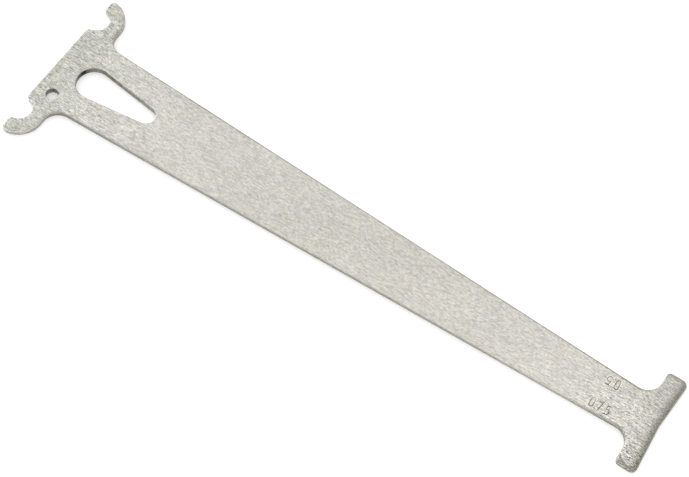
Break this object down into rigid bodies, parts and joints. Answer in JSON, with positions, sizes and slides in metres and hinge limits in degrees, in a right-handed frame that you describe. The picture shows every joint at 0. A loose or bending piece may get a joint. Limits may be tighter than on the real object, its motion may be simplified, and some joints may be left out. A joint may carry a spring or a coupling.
{
  "type": "chain wear gauge",
  "caption": "Flat steel chain wear gauge: a tapering plate with hooks, a teardrop slot and a hang hole at its head, and a T-shaped foot that drops between the rollers of a worn chain.",
  "frame": {"origin": "centre of the bounding box at the plate's flat back face", "axes": "+X from the hooked head to the T-shaped foot, +Y to the side that tests the smaller wear, +Z out of the face whose edges are rolled"},
  "size_m": [0.1488, 0.0394, 0.0016],
  "materials": {
    "steel": "satin tumbled steel with short fine lengthwise scratches and soft mottling"
  },
  "bodies": {
    "root": {"gauge_plate": "steel"}
  },
  "joints": []
}
